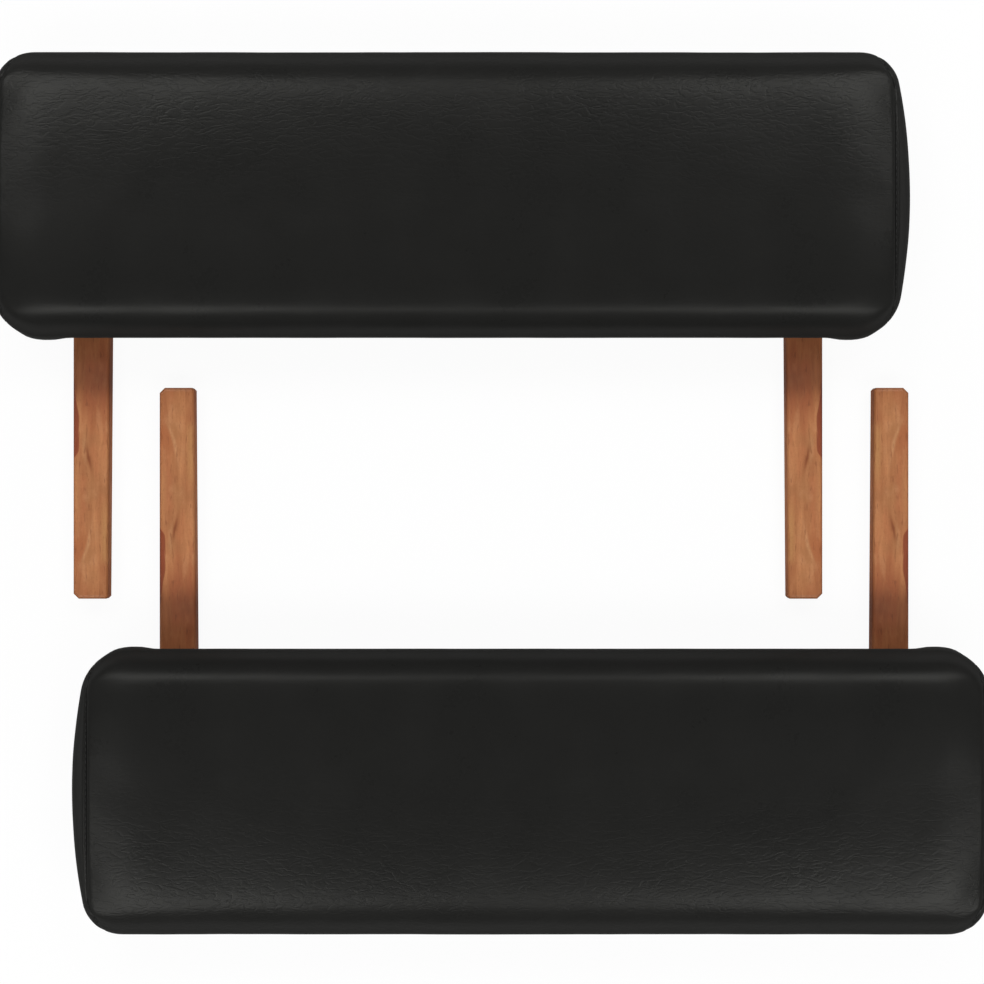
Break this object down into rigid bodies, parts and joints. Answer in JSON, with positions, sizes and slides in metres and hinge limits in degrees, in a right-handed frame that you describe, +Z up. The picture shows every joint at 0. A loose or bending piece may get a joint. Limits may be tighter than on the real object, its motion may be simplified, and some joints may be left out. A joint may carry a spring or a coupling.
{
  "type": "massage table side armrests",
  "caption": "Pair of plug-in side armrests of a folding massage table: black padded leatherette cushions, each on tapered wooden sticks that slide into sockets in the table's edge.",
  "frame": {"origin": "middle of the pair, on the surface that the sticks lie on", "axes": "+X along the cushions towards the foot end, +Y from the right armrest to the left one, +Z up; the left armrest's sticks point along -Y and the right one's along +Y"},
  "size_m": [0.7008, 0.6104, 0.0724],
  "materials": {
    "black_leatherette": "satin",
    "polyurethane_foam": "matte",
    "plywood": "matte",
    "black_lining_cloth": "matte",
    "stained_beech": "satin",
    "zinc_plated_steel": "satin"
  },
  "bodies": {
    "left_armrest": {"left_main_cover": "black_leatherette", "left_head_end_cover": "black_leatherette", "left_foot_end_cover": "black_leatherette", "left_foam_core": "polyurethane_foam", "left_base_board": "plywood", "left_lining": "black_lining_cloth", "left_head_stick": "stained_beech", "left_foot_stick": "stained_beech", "left_head_inner_bolt": "zinc_plated_steel", "left_head_outer_bolt": "zinc_plated_steel", "left_foot_inner_bolt": "zinc_plated_steel", "left_foot_outer_bolt": "zinc_plated_steel", "left_head_inner_tee_nut": "zinc_plated_steel", "left_head_outer_tee_nut": "zinc_plated_steel", "left_foot_inner_tee_nut": "zinc_plated_steel", "left_foot_outer_tee_nut": "zinc_plated_steel"},
    "right_armrest": {"right_main_cover": "black_leatherette", "right_head_end_cover": "black_leatherette", "right_foot_end_cover": "black_leatherette", "right_foam_core": "polyurethane_foam", "right_base_board": "plywood", "right_lining": "black_lining_cloth", "right_head_stick": "stained_beech", "right_foot_stick": "stained_beech", "right_head_inner_bolt": "zinc_plated_steel", "right_head_outer_bolt": "zinc_plated_steel", "right_foot_inner_bolt": "zinc_plated_steel", "right_foot_outer_bolt": "zinc_plated_steel", "right_head_inner_tee_nut": "zinc_plated_steel", "right_head_outer_tee_nut": "zinc_plated_steel", "right_foot_inner_tee_nut": "zinc_plated_steel", "right_foot_outer_tee_nut": "zinc_plated_steel"}
  },
  "joints": [
    {"name": "right_armrest_slide", "type": "slide", "parent": "left_armrest", "child": "right_armrest", "axis": [0, -1, 0], "range_m": [-0.2, 0.49]}
  ]
}
